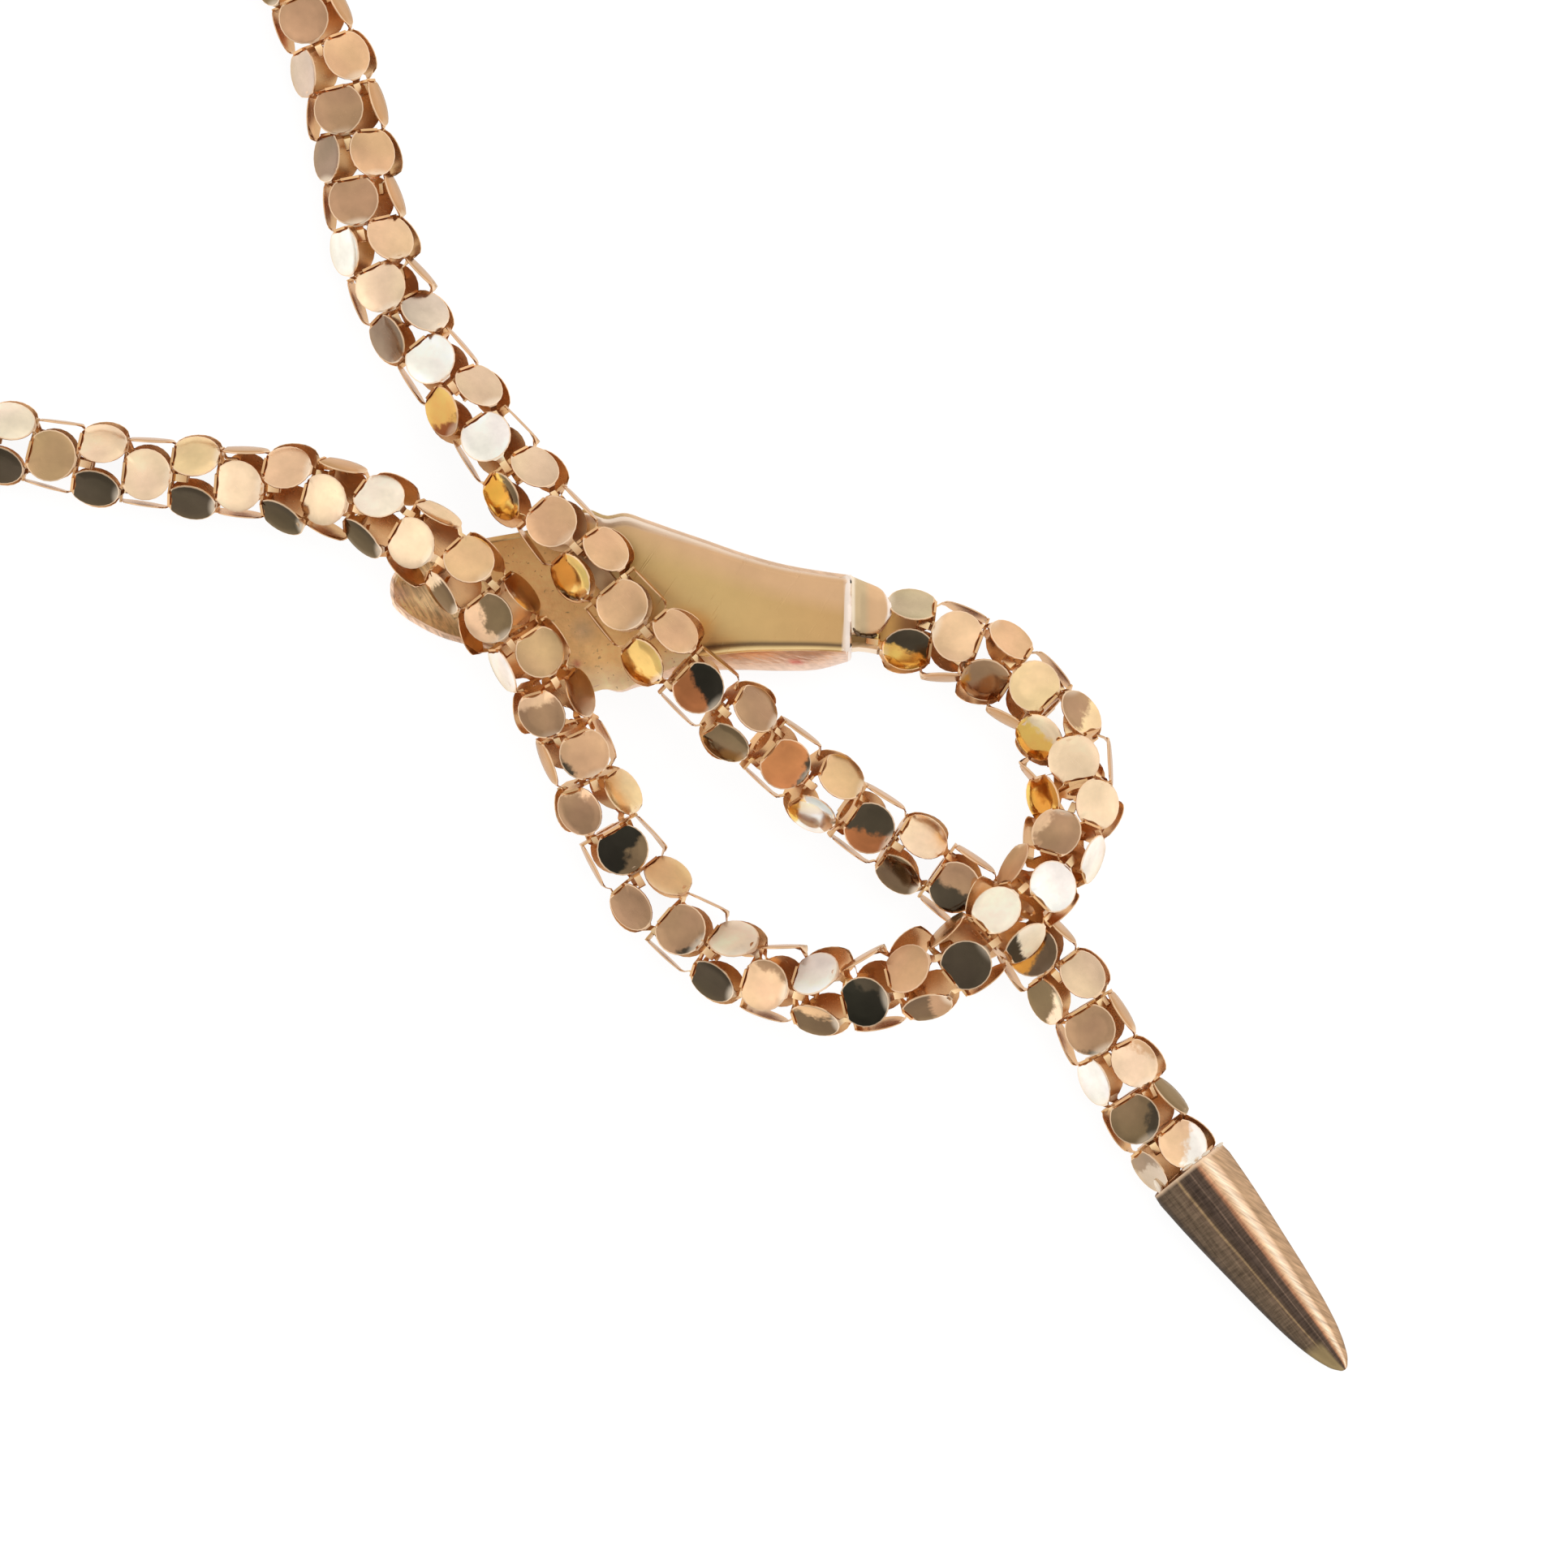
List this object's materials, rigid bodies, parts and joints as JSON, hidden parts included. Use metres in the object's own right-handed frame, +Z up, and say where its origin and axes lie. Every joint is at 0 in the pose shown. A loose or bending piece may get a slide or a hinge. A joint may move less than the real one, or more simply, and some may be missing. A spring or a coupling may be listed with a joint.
{
  "type": "snake choker",
  "caption": "Gold snake necklace of hooked disc cups lying flat as a closed loop, with a hollow pressed head seen from behind, the tail drawn over it, and a bullet-shaped tail tip.",
  "frame": {"origin": "centre of the bottom of the bounding box, on the surface the necklace lies on", "axes": "+X to the right of the picture, +Y to its top, +Z up towards the camera, the thin way of the lying necklace"},
  "size_m": [0.1884, 0.1768, 0.0131],
  "materials": {
    "head": "worn rose gold, brushed back",
    "cups": "polished rose gold, lightly scratched",
    "tail_tip": "brushed rose gold"
  },
  "bodies": {
    "root": {"head": "head", "head_chain": "cups", "joining_link": "cups", "tail_chain": "cups", "tail_tip": "tail_tip"}
  },
  "joints": []
}
